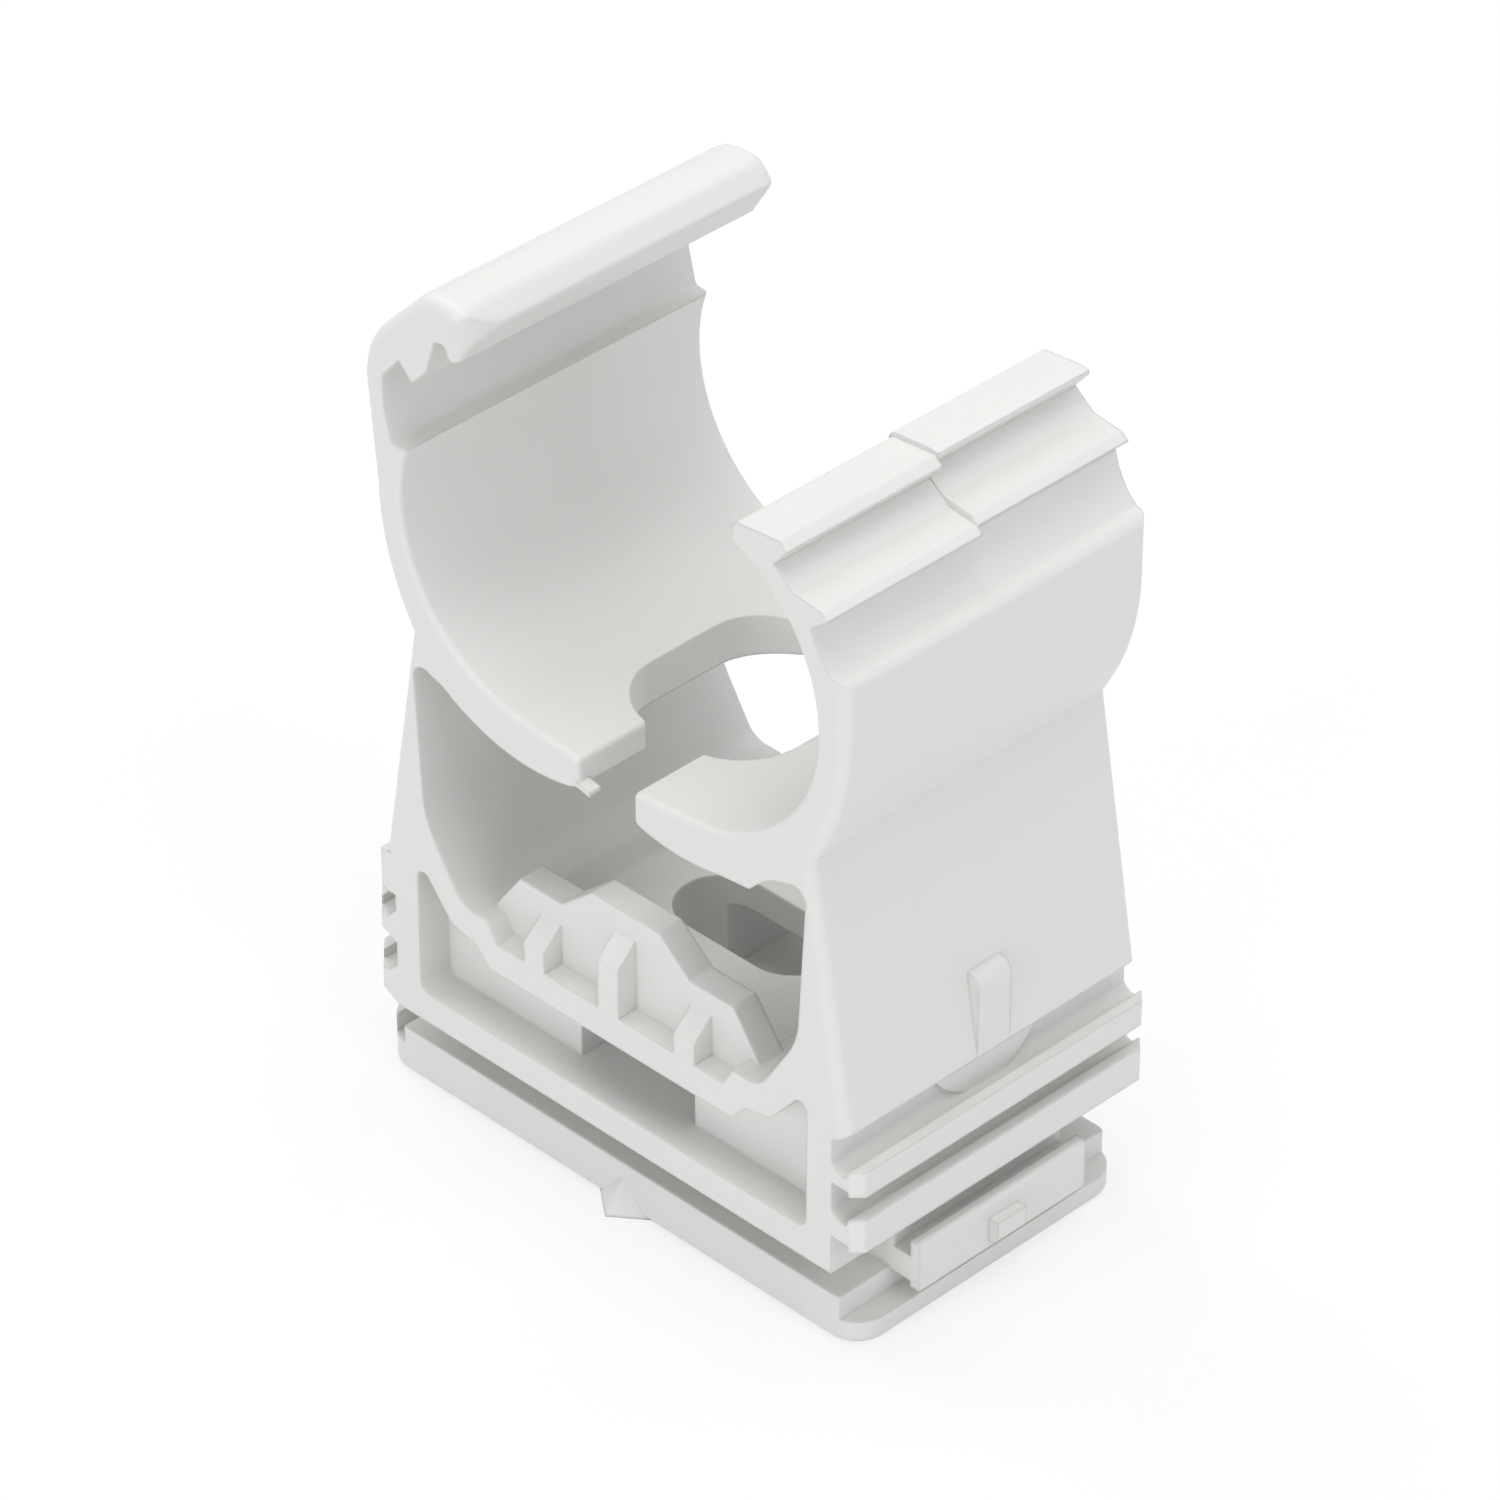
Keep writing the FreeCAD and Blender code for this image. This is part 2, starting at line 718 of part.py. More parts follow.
def build_windows(clip):
    """Sink the shallow window in the front and cut the nut channel behind it."""
    sketch = clip.sketch("window_outline", "XZ_Plane", "depth / 2")
    half = window_corners([])
    clip.trace(sketch, half + mirrored(half))
    clip.pocket(sketch, "window_depth", symmetric=False)
    sketch = clip.sketch("nut_channel_outline", "XZ_Plane")
    clip.trace(sketch, rectangle("-channel_width / 2", "window_floor", "channel_width",
                                 "window_roof - window_floor"))
    clip.pocket(sketch, "depth * 1.5")


def build_floor_openings(clip):
    """Cut the screwdriver opening between the fingers and the screw slot down to the underside."""
    sketch = clip.sketch("finger_notch_outline", "XY_Plane", "seat_low + cut_clear")
    clip.trace(sketch, [
        Corner("notch_half", "-notch_length / 2", "notch_round"),
        Corner("notch_half", "notch_length / 2", "notch_round"),
        Corner("-notch_half", "notch_length / 2", "notch_round"),
        Corner("-notch_half", "-notch_length / 2", "notch_round"),
    ])
    clip.pocket(sketch, "finger_wall + 2 * cut_clear", symmetric=False)
    sketch = clip.sketch("screw_slot_outline", "XY_Plane", "floor_height + cut_clear")
    half = [
        Corner("(slot_length - slot_width) / 2", "-slot_width / 2", left="slot_width / 2"),
        Corner("slot_length / 2", "0", left="slot_width / 2"),
        Corner("(slot_length - slot_width) / 2", "slot_width / 2"),
    ]
    clip.trace(sketch, half + mirrored(half))
    clip.pocket(sketch, "floor_height + 2 * cut_clear", symmetric=False)


def build_crest(clip):
    """Stand the stepped crest wall on the floor, with the gussets in front of it."""
    sketch = clip.sketch("crest_outline", "XZ_Plane", "depth / 2 - crest_inset")
    half = [
        Corner("crest_end_half", "floor_height - crest_sink"),
        Corner("crest_end_half", "crest_end"),
        Corner("crest_shelf_half", "crest_step"),
        Corner("crest_step_half", "crest_step"),
        Corner("crest_top_half", "crest_top"),
    ]
    clip.trace(sketch, half + mirrored(half))
    clip.pad(sketch, "crest_thick", symmetric=False, inward=True)
    for name, place, height in (("left", "-gusset_pitch", "side_gusset_height"),
                                ("middle", "0", "middle_gusset_height"),
                                ("right", "gusset_pitch", "side_gusset_height")):
        sketch = clip.sketch(f"{name}_gusset_outline", "YZ_Plane", place)
        root = "-(depth / 2 - crest_inset - crest_thick / 2)"
        clip.trace(sketch, [
            Corner("-depth / 2", "floor_height - crest_sink"),
            Corner(root, "floor_height - crest_sink"),
            Corner(root, f"{height} + gusset_slope"),
            Corner("-(depth / 2 - crest_inset)", f"{height} + gusset_slope"),
            Corner("-depth / 2", height),
        ])
        clip.pad(sketch, "gusset_width")


def build_sweep(clip):
    """Trim the tip of the hook in a round sweep at the front."""
    sketch = clip.sketch("hook_sweep_outline", "XY_Plane", "hook_top + cut_clear")
    clip.trace(sketch, [
        Corner("-(hook_tip_half + sweep_reach)", "-depth / 2"),
        Corner("-(hook_tip_half + sweep_reach)", "-depth / 2 - cut_clear"),
        Corner("-(hook_tip_half - cut_clear)", "-depth / 2 - cut_clear"),
        Corner("-(hook_tip_half - cut_clear)", "-depth / 2 + sweep_length"),
        Corner("-hook_tip_half", "-depth / 2 + sweep_length",
               right="(pow(sweep_reach; 2) + pow(sweep_length; 2)) / (2 * sweep_reach)"),
    ])
    clip.pocket(sketch, "hook_top + 1.5 - beak_height", symmetric=False)


def build_barbs(clip):
    """Add the beak of the left fingertip and the barb under the right finger, both at the front."""
    under = "seat_height - sqrt(pow(seat_radius + finger_wall; 2) - pow({0} - seat_offset; 2))"
    sketch = clip.sketch("beak_outline", "XZ_Plane", "depth / 2")
    clip.trace(sketch, [
        Corner("-tip_heel_half", "beak_high"),
        Corner("-(tip_heel_half + tip_half) / 2", "beak_low + barb_depth / 4"),
        Corner("-(tip_half - beak_reach)", "beak_low"),
        Corner("-(tip_half - beak_reach)", "beak_high"),
        Corner("-tip_half", "beak_high + barb_depth / 4"),
    ])
    clip.pad(sketch, "barb_depth", symmetric=False, inward=True)
    sketch = clip.sketch("barb_outline", "XZ_Plane", "depth / 2")
    clip.trace(sketch, [
        Corner("barb_foot", f"{under.format('barb_foot')} + barb_sink"),
        Corner("barb_toe", "barb_low"),
        Corner("barb_heel", f"{under.format('barb_heel')} + barb_sink"),
        Corner("barb_toe", f"{under.format('barb_toe')} + barb_cover"),
    ])
    clip.pad(sketch, "barb_depth", symmetric=False, inward=True)


def build_cores(clip):
    """Core out the block from the back, beside the nut channel."""
    sketch = clip.sketch("back_cores_outline", "XZ_Plane", "-depth / 2")
    inner = "channel_width / 2 + channel_wall"
    half = window_corners([Corner(inner, "window_roof")]) + [Corner(inner, "window_floor")]
    clip.trace(sketch, half)
    clip.trace(sketch, mirrored(half))
    clip.pocket(sketch, "depth - window_depth - web_thick", symmetric=False, reverse=True)


def ratchet_corners(shift):
    """Return the outline of one row of ratchet teeth, moved up the row by shift."""
    low_x, low_z = f"root_half - {shift}", f"root_height + {shift}"
    high_x, high_z = f"{low_x} - pitch_across", f"{low_z} + pitch_up"
    rim_x, inner_x = f"{high_x} + rim_reach - rim_bevel", "lip_half + lip_round * 2"
    inside = "root_cover * 2"
    return [
        Corner(f"{low_x} - {inside}", f"{low_z} - {inside} * 0.6"),
        Corner(low_x, low_z),
        Corner(f"{low_x} + tooth_reach", f"{low_z} + tooth_rise"),
        Corner(f"{low_x} + tooth_reach - bevel_reach", f"{low_z} + tooth_rise + bevel_rise"),
        Corner(f"{high_x} + crease_reach", f"{high_z} - crease_drop"),
        Corner(high_x, high_z),
        Corner(f"{high_x} + rim_reach", f"{high_z} + rim_rise"),
        Corner(rim_x, lip_height(rim_x)),
        Corner(inner_x, lip_height(inner_x)),
        Corner(f"{inner_x} + lip_thick", "lip_top - lip_thick / 2"),
    ]


def build_ratchet(clip):
    """Pad the two rows of ratchet teeth, the back row half a step further up."""
    for name, shift, to_front in (("front", "0", True), ("back", "row_shift", False)):
        sketch = clip.sketch(f"{name}_teeth_outline", "XZ_Plane")
        clip.trace(sketch, ratchet_corners(shift))
        clip.pad(sketch, "depth / 2", symmetric=False, inward=not to_front)


def build_marks(clip):
    """Add the moulded marks of the middle plane: arrow, disc, stud and pyramid."""
    sketch = clip.sketch("arrow_outline", "XZ_Plane")
    clip.trace(sketch, [
        Corner("block_half - hook_sink", "flare_height"),
        Corner("flare_half", "flare_height"),
        Corner("flare_half", "arrow_top", "arrow_width / 3"),
        Corner("waist_half", "arrow_top"),
    ])
    clip.pad(sketch, "arrow_width")
    sketch = clip.sketch("disc_outline", "YZ_Plane", "block_half - hook_sink")
    chord = "flare_height - flare_drop"
    half = f"sqrt(pow(disc_radius; 2) - pow(disc_low + disc_radius - ({chord}); 2))"
    clip.trace(sketch, [Corner(f"-{half}", chord, left="disc_radius"), Corner(half, chord)])
    clip.pad(sketch, "hook_sink + disc_stand", symmetric=False)
    sketch = clip.sketch("stud_outline", "XZ_Plane")
    clip.trace(sketch, [
        Corner("lip_inner", "stud_low"),
        Corner("lip_outer", "stud_low"),
        Corner("lip_outer + stud_stand", "stud_low", "stud_stand * 0.9"),
        Corner("lip_outer + stud_stand", "stud_high"),
        Corner("lip_inner", "stud_high"),
    ])
    clip.pad(sketch, "stud_width")
    base = clip.sketch("pyramid_base_outline", "XY_Plane")
    clip.trace(base, [
        Corner("-pyramid_half", "-plate_depth / 2 + plate_soft"),
        Corner("0", "-plate_depth / 2 - pyramid_reach"),
        Corner("pyramid_half", "-plate_depth / 2 + plate_soft"),
    ])
    peak = clip.sketch("pyramid_peak_outline", "XY_Plane", "pyramid_height")
    clip.trace(peak, [
        Corner("-0.02 * pyramid_half", "-plate_depth / 2 + plate_soft"),
        Corner("0", "-plate_depth / 2 + plate_soft - 0.02 * pyramid_half"),
        Corner("0.02 * pyramid_half", "-plate_depth / 2 + plate_soft"),
    ])
    loft = clip.body.newObject("PartDesign::AdditiveLoft", "pyramid")
    loft.Profile = base
    loft.Sections = [peak]
    loft.Ruled = True
    clip.finish(loft)


def main():
    """Build the front half, mirror it, add what the halves don't share, and write the clip."""
    document = FreeCAD.newDocument("pipe_clip")
    clip = Clip(document)
    build_shell(clip)
    build_plate(clip)
    build_neck(clip)
    build_right_hooks(clip)
    build_left_claws(clip)
    build_windows(clip)
    build_floor_openings(clip)
    clip.mirror_whole("both_halves", "XZ_Plane")
    build_crest(clip)
    build_sweep(clip)
    build_barbs(clip)
    build_cores(clip)
    build_ratchet(clip)
    build_marks(clip)
    write(clip)


def write(clip):
    """Check every object and write the clip's solid."""
    document = clip.document
    document.recompute()
    for item in document.Objects:
        if {"Invalid", "Error"} & set(item.State):
            raise RuntimeError(f"{item.Name} failed")
    shape = clip.body.Shape
    if shape.isNull() or not shape.isValid() or len(shape.Solids) != 1:
        raise RuntimeError("the clip is not one valid solid")
    os.makedirs("parts", exist_ok=True)
    shape.exportStep(f"parts/{clip.body.Label}.step")


main()
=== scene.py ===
"""Looks of the self-closing pipe clip: a light grey moulding under soft studio light."""

import logging
import math
from dataclasses import dataclass, field
from enum import Enum
from typing import Any, Callable

import bpy
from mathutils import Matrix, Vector


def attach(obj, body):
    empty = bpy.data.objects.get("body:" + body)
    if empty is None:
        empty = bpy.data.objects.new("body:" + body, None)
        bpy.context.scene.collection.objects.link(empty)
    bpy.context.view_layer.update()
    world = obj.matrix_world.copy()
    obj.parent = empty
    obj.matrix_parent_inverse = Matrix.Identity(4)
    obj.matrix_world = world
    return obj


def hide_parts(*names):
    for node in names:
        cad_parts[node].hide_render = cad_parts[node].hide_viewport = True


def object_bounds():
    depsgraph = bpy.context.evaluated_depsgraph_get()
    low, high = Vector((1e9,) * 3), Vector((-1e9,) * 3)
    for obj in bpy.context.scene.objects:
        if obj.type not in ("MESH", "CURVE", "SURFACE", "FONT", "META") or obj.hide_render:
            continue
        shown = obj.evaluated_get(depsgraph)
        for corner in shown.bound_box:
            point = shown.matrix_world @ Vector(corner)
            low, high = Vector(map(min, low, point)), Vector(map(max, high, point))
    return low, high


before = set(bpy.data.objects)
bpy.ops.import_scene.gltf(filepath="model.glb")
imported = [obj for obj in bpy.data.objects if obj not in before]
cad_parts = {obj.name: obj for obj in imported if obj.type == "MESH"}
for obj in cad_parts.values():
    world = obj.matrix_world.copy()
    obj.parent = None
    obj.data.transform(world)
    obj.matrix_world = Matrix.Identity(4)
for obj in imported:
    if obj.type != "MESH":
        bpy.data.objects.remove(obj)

CAD_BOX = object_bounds()
MILLIMETRE = 0.001

log = logging.getLogger("pipe_clip")

Colour = tuple[float, float, float]
Place = tuple[float, float, float]
Face = bpy.types.MeshPolygon


def tone(level: float, tint: Colour = (1.0, 1.0, 1.0)) -> tuple[float, float, float, float]:
    """Return a near-neutral colour with alpha.

    Args:
        level: linear brightness.
        tint: share of red, green and blue in it.

    Returns:
        Red, green, blue and an alpha of one.
    """
    red, green, blue = tint
    return (level * red, level * green, level * blue, 1.0)


class Operation(Enum):
    """What a Math node works out."""

    ADD = "ADD"
    SUBTRACT = "SUBTRACT"
    MULTIPLY = "MULTIPLY"
    LARGER = "MAXIMUM"


class Signal:
    """A shader socket that takes part in Python expressions."""

    def __init__(self, tree: "ShaderTree", socket: bpy.types.NodeSocket) -> None:
        """Keep the tree that new nodes go into, and the socket."""
        self.tree = tree
        self.socket = socket

    def _math(self, operation: Operation, first: Any, second: Any) -> "Signal":
        """Return one Math node on two values."""
        return self.tree.node("ShaderNodeMath", {"operation": operation.value}, {0: first, 1: second})

    def __add__(self, other: Any) -> "Signal":
        """Return the sum."""
        return self._math(Operation.ADD, self, other)

    def __radd__(self, other: Any) -> "Signal":
        """Return the sum with a number in front."""
        return self._math(Operation.ADD, other, self)

    def __sub__(self, other: Any) -> "Signal":
        """Return the difference."""
        return self._math(Operation.SUBTRACT, self, other)

    def __rsub__(self, other: Any) -> "Signal":
        """Return a number less this signal."""
        return self._math(Operation.SUBTRACT, other, self)

    def __mul__(self, other: Any) -> "Signal":
        """Return the product."""
        return self._math(Operation.MULTIPLY, self, other)

    def __rmul__(self, other: Any) -> "Signal":
        """Return the product with a number in front."""
        return self._math(Operation.MULTIPLY, other, self)

    def larger(self, other: Any) -> "Signal":
        """Return the larger of the two values."""
        return self._math(Operation.LARGER, self, other)


class ShaderTree:
    """The nodes of one material or of the world."""

    def __init__(self, owner: bpy.types.ID) -> None:
        """Start with an empty tree.

        Args:
            owner: the material or world that the tree belongs to.
        """
        owner.use_nodes = True
        self.nodes = owner.node_tree.nodes
        self.links = owner.node_tree.links
        self.nodes.clear()

    def node(self, kind: str, settings: dict[str, Any] | None = None,
             sockets: dict[Any, Any] | None = None, output: Any = 0) -> Signal:
        """Add a node.

        Args:
            kind: the node's type.
            settings: properties of the node, set before its sockets.
            sockets: values or signals by the name or number of the input socket.
            output: name or number of the output that is returned.

        Returns:
            The chosen output, or the node's first input where it has no output.
        """
        made = self.nodes.new(kind)
        for name, value in (settings or {}).items():
            setattr(made, name, value)
        for name, value in (sockets or {}).items():
            if isinstance(value, Signal):
                self.links.new(value.socket, made.inputs[name])
            else:
                made.inputs[name].default_value = value
        return Signal(self, made.outputs[output] if made.outputs else made.inputs[0])

    def noise(self, place: Signal, scale: float, detail: float) -> Signal:
        """Add a noise from nought to one.

        Args:
            place: where the noise is read, in metres.
            scale: its waves a metre.
            detail: how many finer layers lie over it.

        Returns:
            The noise.
        """
        return self.node("ShaderNodeTexNoise", None, {"Vector": place, "Scale": scale, "Detail": detail})

    def mix(self, factor: Any, first: Any, second: Any) -> Signal:
        """Mix two colours.

        Args:
            factor: share of the second colour, a number or a signal.
            first: a colour or a signal.
            second: a colour or a signal.

        Returns:
            The mixed colour.
        """
        return self.node("ShaderNodeMix", {"data_type": "RGBA"},
                         {0: factor, 6: first, 7: second}, output=2)

    def seen(self) -> Signal:
        """Return one for rays that show the surface, direct, mirrored or through glass, else nought."""
        direct, mirrored, through = (
            self.node("ShaderNodeLightPath", output=f"Is {kind} Ray")
            for kind in ("Camera", "Glossy", "Transmission"))
        return direct.larger(mirrored).larger(through)


@dataclass(frozen=True)
class MouldedPlastic:
    """Light grey injection-moulded plastic: fine eroded texture, soft sheen, faint flow."""

    name: str = "light_grey_plastic"
    level: float = 0.735
    tint: Colour = (0.99, 1.0, 0.975)
    deep_share: float = 0.965
    flow_size: float = 26.0
    flow_share: float = 0.6
    cloud_size: float = 90.0
    grain_size: float = 2600.0
    grain_height: float = 0.012 * MILLIMETRE
    grain_strength: float = 0.5
    edge_radius: float = 0.3 * MILLIMETRE
    edge_samples: int = 8
    corner_radius: float = 1.0 * MILLIMETRE
    corner_place: Place = (-0.0127, -0.0122, 0.0627)
    corner_reach: float = 2.6 * MILLIMETRE
    roughness: float = 0.42
    roughness_swing: float = 0.10
    cloud_share: float = 0.7
    refraction: float = 1.46
    specular: float = 0.45

    def material(self) -> bpy.types.Material:
        """Mix the plastic.

        Returns:
            The new material.
        """
        made = bpy.data.materials.new(self.name)
        tree = ShaderTree(made)
        place = tree.node("ShaderNodeTexCoord", output="Object")
        flow = tree.noise(place, self.flow_size, detail=2.0)
        cloud = tree.noise(place, self.cloud_size, detail=3.0)
        grain = tree.noise(place, self.grain_size, detail=2.0)
        shade = self.flow_share * flow + (1 - self.flow_share) * cloud
        deep = tone(self.level * self.deep_share, self.tint)
        patchy = self.cloud_share * cloud + (1 - self.cloud_share) * grain
        surface = tree.node("ShaderNodeBsdfPrincipled", None, {
            "Base Color": tree.mix(shade, tone(self.level, self.tint), deep),
            "Roughness": self.roughness - self.roughness_swing / 2 + self.roughness_swing * patchy,
            "Normal": self._relief(tree, place, grain),
            "IOR": self.refraction,
            "Specular IOR Level": self.specular,
        })
        tree.node("ShaderNodeOutputMaterial", None, {"Surface": surface})
        return made

    def _relief(self, tree: ShaderTree, place: Signal, grain: Signal) -> Signal:
        """Lay the grain over rounded edges, which are rounder at the hook's front corner.

        Args:
            tree: the nodes of the material.
            place: the place on the piece.
            grain: the height of the grain.

        Returns:
            The normal.
        """
        away = tree.node("ShaderNodeVectorMath", {"operation": "DISTANCE"},
                         {0: place, 1: self.corner_place}, output="Value")
        near = (1 - away * (1 / self.corner_reach)).larger(0.0)
        radius = near * (self.corner_radius - self.edge_radius) + self.edge_radius
        rounded = tree.node("ShaderNodeBevel", {"samples": self.edge_samples}, {"Radius": radius})
        return tree.node("ShaderNodeBump", None, {
            "Strength": self.grain_strength, "Distance": self.grain_height,
            "Height": grain, "Normal": rounded})


@dataclass(frozen=True)
class StudioWhite:
    """A white that shows as plain white and still takes the shadow of what stands on it."""

    name: str = "studio_white"
    level: float = 0.92
    deep_share: float = 0.985
    paper_size: float = 40.0
    shadow_share: float = 0.35

    def material(self) -> bpy.types.Material:
        """Mix the white.

        Returns:
            The new material.
        """
        made = bpy.data.materials.new(self.name)
        tree = ShaderTree(made)
        place = tree.node("ShaderNodeTexCoord", output="Object")
        paper = tree.noise(place, self.paper_size, detail=2.0)
        colour = tree.mix(paper, tone(self.level), tone(self.level * self.deep_share))
        matte = tree.node("ShaderNodeBsdfDiffuse", None, {"Color": colour})
        glow = tree.node("ShaderNodeEmission", None, {"Color": tone(1.0), "Strength": 1.0})
        share = tree.seen() * (1 - self.shadow_share)
        surface = tree.node("ShaderNodeMixShader", None, {0: share, 1: matte, 2: glow})
        tree.node("ShaderNodeOutputMaterial", None, {"Surface": surface})
        return made


@dataclass(frozen=True)
class Window:
    """A rectangle in the view along the pipe, by its corners across and up in millimetres."""

    low: tuple[float, float]
    high: tuple[float, float]

    def holds(self, point: Vector) -> bool:
        """Tell whether a point, given in metres, lies in it."""
        across, up = point.x / MILLIMETRE, point.z / MILLIMETRE
        return self.low[0] < across < self.high[0] and self.low[1] < up < self.high[1]


@dataclass
class Moulding:
    """The whole clip, one moulding, as a joined mesh with a solid lip stepped at mid-depth."""

    node: str = "pipe_clip"
    body: str = "root"
    name: str = "clip_moulding"
    slot: str = "plastic"
    merge_distance: float = 0.0005 * MILLIMETRE
    slit: Window = Window((14.04, 57.76), (14.82, 58.84))
    band: Window = Window((11.39, 59.0), (15.6, 60.5))
    notch: Window = Window((14.95, 59.7), (15.45, 60.1))
    band_rise: float = 0.3 * MILLIMETRE
    end_share: float = 0.5
    hole_sides: int = 6
    smooth_angle: float = 30.0
    finish: MouldedPlastic = field(default_factory=MouldedPlastic)

    def build(self) -> bpy.types.Object:
        """Model the clip from its node and dress it.

        Returns:
            The clip's object.
        """
        piece = self._joined_copy(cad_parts[self.node])
        self._fill_lip(piece)
        self._raise_back_band(piece)
        self._shade(piece)
        self._dress(piece)
        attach(piece, self.body)
        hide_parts(self.node)
        return piece

    def _joined_copy(self, node: bpy.types.Object) -> bpy.types.Object:
        """Copy a node and join its loose triangles.

        Args:
            node: the object to copy.

        Returns:
            The copy, selected alone.
        """
        piece = bpy.data.objects.new(self.name, node.data.copy())
        bpy.context.scene.collection.objects.link(piece)
        bpy.ops.object.select_all(action="DESELECT")
        piece.select_set(True)
        bpy.context.view_layer.objects.active = piece
        bpy.ops.object.mode_set(mode="EDIT")
        bpy.ops.mesh.select_all(action="SELECT")
        bpy.ops.mesh.remove_doubles(threshold=self.merge_distance)
        bpy.ops.mesh.select_all(action="DESELECT")
        bpy.ops.object.mode_set(mode="OBJECT")
        return piece

    def _fill_lip(self, piece: bpy.types.Object) -> None:
        """Make the ratchet lip solid where the rows of teeth join the arm.

        Args:
            piece: the joined copy.
        """
        points = piece.data.vertices
        self._edit_faces(piece, lambda face: all(self.slit.holds(points[number].co)
                                                 for number in face.vertices))
        bpy.ops.mesh.delete(type="FACE")
        self._close_holes()

    def _raise_back_band(self, piece: bpy.types.Object) -> None:
        """Raise the top of the lip behind the middle of the depth, where the back row begins.

        Args:
            piece: the joined copy.
        """
        self._edit_faces(piece, self._on_band)
        bpy.ops.mesh.bisect(plane_co=(0, 0, 0), plane_no=(0, 1, 0), threshold=self.merge_distance)
        bpy.ops.object.mode_set(mode="OBJECT")
        self._edit_faces(piece, lambda face: self._on_band(face) and face.center.y > 0)
        bpy.ops.mesh.extrude_region_move(TRANSFORM_OT_translate={"value": (0, 0, self.band_rise)})
        bpy.ops.object.mode_set(mode="OBJECT")
        self._edit_faces(piece, self._in_notch)
        bpy.ops.mesh.delete(type="FACE")
        self._close_holes()

    def _on_band(self, face: Face) -> bool:
        """Tell whether a face belongs to the top of the lip, with its rounded inner edge."""
        return self.band.holds(face.center) and face.normal.z > 0 and not self._is_end(face)

    def _in_notch(self, face: Face) -> bool:
        """Tell whether a face stands in the small step between the two rows, under the band."""
        at_middle = abs(face.center.y) < self.merge_distance
        return at_middle and self.notch.holds(face.center) and self._is_end(face)

    def _is_end(self, face: Face) -> bool:
        """Tell whether a face looks along the pipe, to the front or the back."""
        return abs(face.normal.y) > self.end_share

    def _close_holes(self) -> None:
        """Close the small holes of the piece in edit mode, and leave edit mode."""
        bpy.ops.mesh.select_mode(type="EDGE")
        bpy.ops.mesh.select_non_manifold(extend=False)
        bpy.ops.mesh.fill_holes(sides=self.hole_sides)
        bpy.ops.object.mode_set(mode="OBJECT")

    def _edit_faces(self, piece: bpy.types.Object, chosen: Callable[[Face], bool]) -> None:
        """Go into edit mode with only the chosen faces of a piece selected.

        Args:
            piece: the object to edit.
            chosen: tells for each of its faces whether it is selected.
        """
        bpy.ops.object.mode_set(mode="EDIT")
        bpy.ops.mesh.select_mode(type="FACE")
        bpy.ops.mesh.select_all(action="DESELECT")
        bpy.ops.object.mode_set(mode="OBJECT")
        for face in piece.data.polygons:
            face.select = chosen(face)
        bpy.ops.object.mode_set(mode="EDIT")

    def _shade(self, piece: bpy.types.Object) -> None:
        """Shade the rounded faces smooth and the flat ones flat, with sharp edges between them.

        Args:
            piece: the joined copy.
        """
        bpy.ops.object.select_all(action="DESELECT")
        piece.select_set(True)
        bpy.context.view_layer.objects.active = piece
        bpy.ops.mesh.customdata_custom_splitnormals_clear()
        bpy.ops.object.shade_smooth_by_angle(angle=math.radians(self.smooth_angle))
        weighted = piece.modifiers.new("weighted", "WEIGHTED_NORMAL")
        weighted.mode = "FACE_AREA"
        weighted.keep_sharp = True
        bpy.ops.object.modifier_apply(modifier=weighted.name)

    def _dress(self, piece: bpy.types.Object) -> None:
        """Put the plastic on the whole piece."""
        piece.data.materials.clear()
        piece.data.materials.append(self.finish.material())


@dataclass
class Lamp:
    """One soft box, placed round the clip and turned to it."""

    name: str
    azimuth: float
    elevation: float
    distance: float
    size: float
    power: float
    tint: Colour = (1.0, 1.0, 1.0)

    def build(self, target: Vector) -> None:
        """Hang the lamp.

        Args:
            target: the point that it faces.
        """
        data = bpy.data.lights.new(self.name, "AREA")
        data.shape = "SQUARE"
        data.size = self.size
        data.energy = self.power
        data.color = self.tint
        lamp = bpy.data.objects.new(self.name, data)
        turn, rise = math.radians(self.azimuth), math.radians(self.elevation)
        away = Vector((math.sin(turn) * math.cos(rise), -math.cos(turn) * math.cos(rise), math.sin(rise)))
        lamp.location = target + away * self.distance
        lamp.rotation_euler = (-away).to_track_quat("-Z", "Y").to_euler()
        bpy.context.scene.collection.objects.link(lamp)


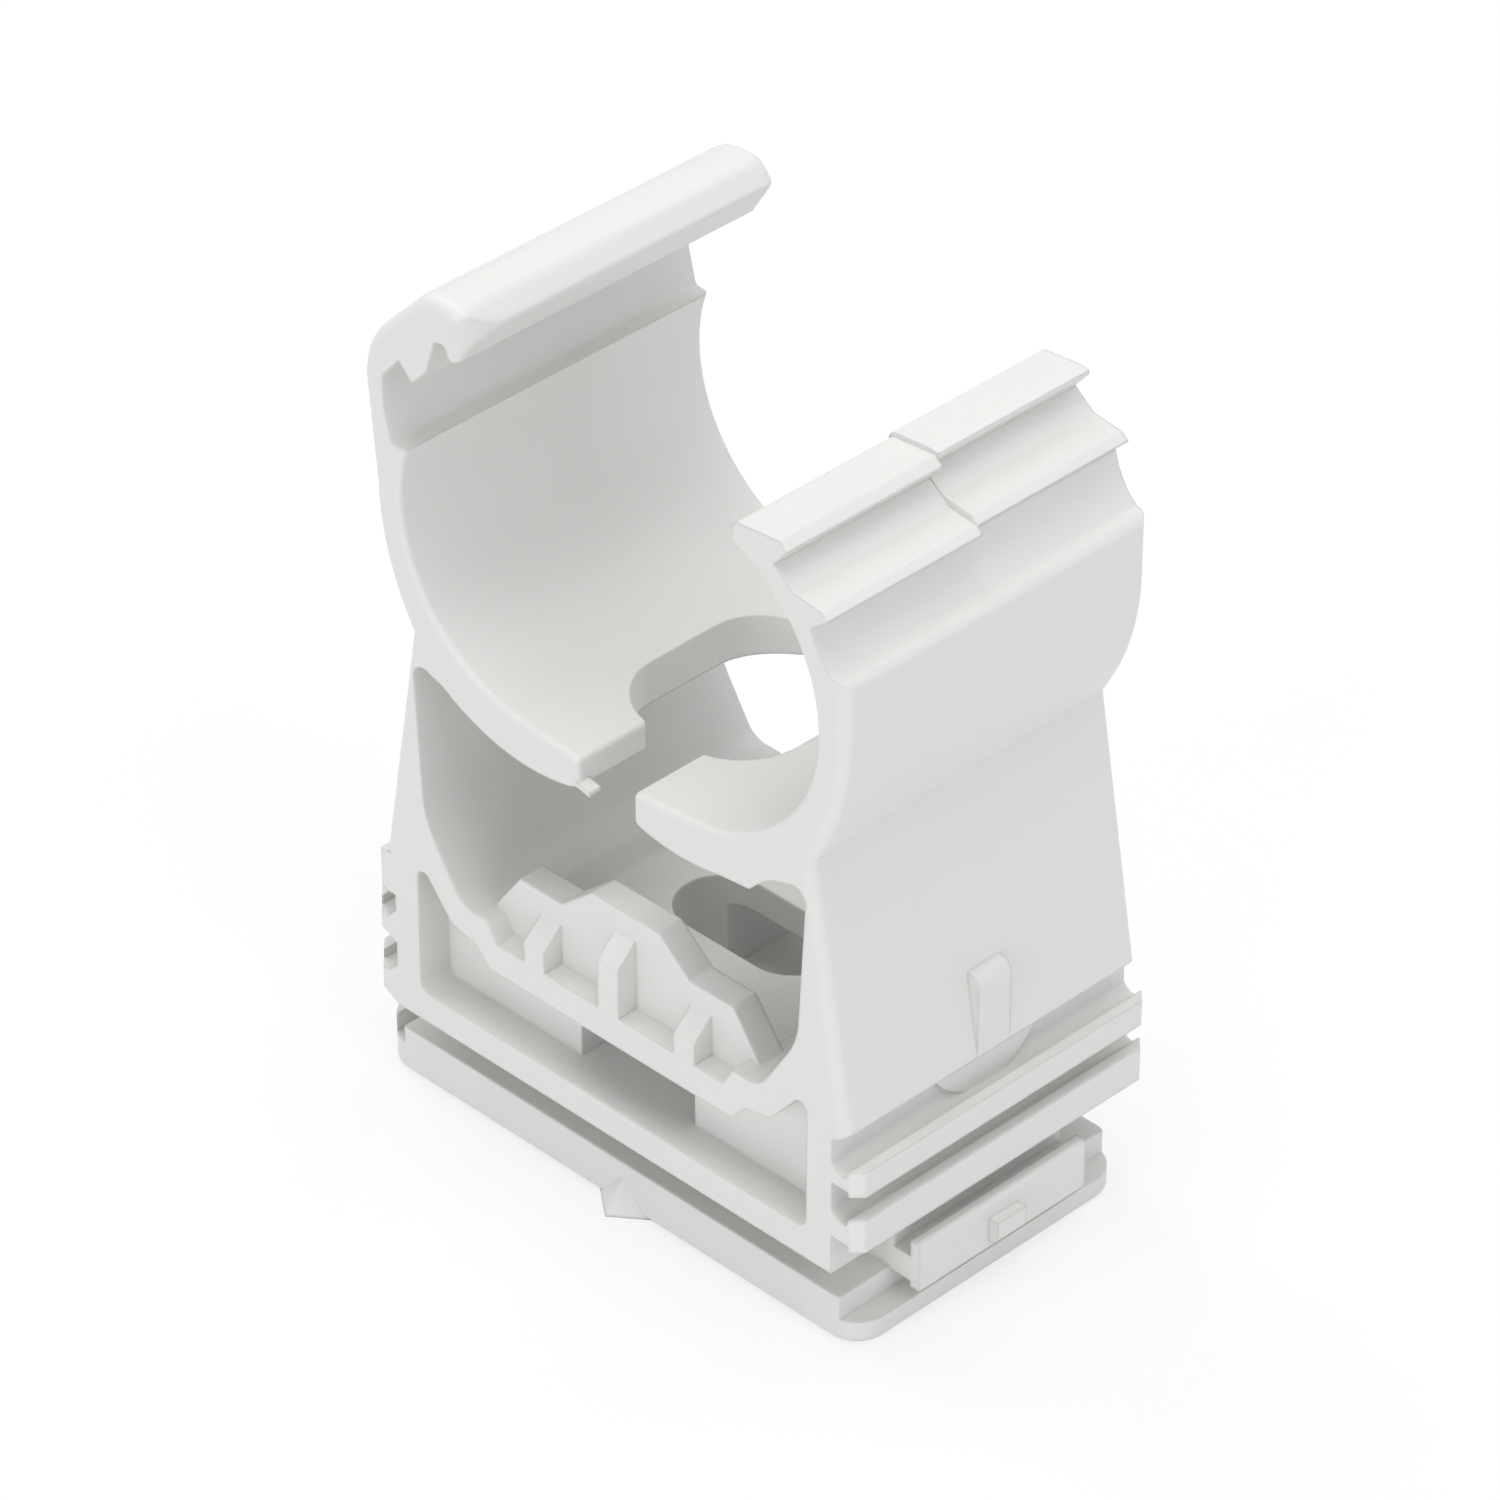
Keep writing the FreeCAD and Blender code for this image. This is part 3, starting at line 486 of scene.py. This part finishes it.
@dataclass
class Studio:
    """Floor, lamps, world and camera."""

    floor_half: float = 3.0
    world_level: float = 0.2
    camera_place: Place = (0.28601, -0.28640, 0.31442)
    camera_line: Place = (-1.0, 1.0, -1.0)
    camera_lens: float = 184.8
    camera_sensor: float = 36.0
    camera_shift: tuple[float, float] = (-0.00167, 0.018)
    camera_range: tuple[float, float] = (0.01, 20.0)
    finish: StudioWhite = field(default_factory=StudioWhite)
    lamps: tuple[Lamp, ...] = (
        Lamp("overhead_box", 20.0, 86.0, 0.9, 0.5, 2.75, (1.0, 1.0, 0.985)),
        Lamp("high_left_box", -90.0, 50.0, 1.0, 0.8, 3.4),
        Lamp("high_right_box", 90.0, 50.0, 1.0, 0.8, 2.5),
        Lamp("high_back_box", 180.0, 45.0, 1.0, 0.8, 2.3),
        Lamp("front_box", 5.0, 15.0, 1.0, 0.8, 4.4),
        Lamp("right_box", 85.0, 15.0, 1.0, 0.8, 1.85, (0.995, 0.985, 1.0)),
        Lamp("left_box", -85.0, 20.0, 1.0, 0.8, 0.5),
    )

    def build(self, target: Vector) -> None:
        """Set up the studio.

        Args:
            target: the point that the lamps face.
        """
        self._floor()
        self._world()
        for lamp in self.lamps:
            lamp.build(target)
        self._camera()
        bpy.context.scene.view_settings.view_transform = "Standard"

    def _floor(self) -> None:
        """Lay the floor at the clip's underside."""
        bpy.ops.object.select_all(action="DESELECT")
        bpy.ops.mesh.primitive_plane_add(size=2 * self.floor_half, location=(0, 0, 0))
        floor = bpy.context.object
        floor.name = "studio_floor"
        floor.data.materials.append(self.finish.material())

    def _world(self) -> None:
        """Light evenly from all round, and show as plain white."""
        world = bpy.data.worlds.new("studio_world")
        bpy.context.scene.world = world
        tree = ShaderTree(world)
        even, plain = (
            tree.node("ShaderNodeBackground", None, {"Color": tone(1.0), "Strength": strength})
            for strength in (self.world_level, 1.0))
        surface = tree.node("ShaderNodeMixShader", None, {0: tree.seen(), 1: even, 2: plain})
        tree.node("ShaderNodeOutputWorld", None, {"Surface": surface})

    def _camera(self) -> None:
        """Place the camera on the corner diagonal, as the photograph does."""
        data = bpy.data.cameras.new("camera")
        data.lens = self.camera_lens
        data.sensor_width = self.camera_sensor
        data.shift_x, data.shift_y = self.camera_shift
        data.clip_start, data.clip_end = self.camera_range
        camera = bpy.data.objects.new("camera", data)
        camera.location = self.camera_place
        camera.rotation_mode = "QUATERNION"
        camera.rotation_quaternion = Vector(self.camera_line).to_track_quat("-Z", "Y")
        bpy.context.scene.collection.objects.link(camera)
        bpy.context.scene.camera = camera


def main() -> None:
    """Build the clip and its studio, and report each piece."""
    logging.basicConfig(level=logging.INFO, format="%(message)s")
    lowest, highest = CAD_BOX
    middle = (lowest + highest) / 2
    piece = Moulding().build()
    log.info("%s: %d faces", piece.name, len(piece.data.polygons))
    Studio().build(middle)
    log.info("studio: floor, world, lamps and camera")


if __name__ == "__main__":
    main()
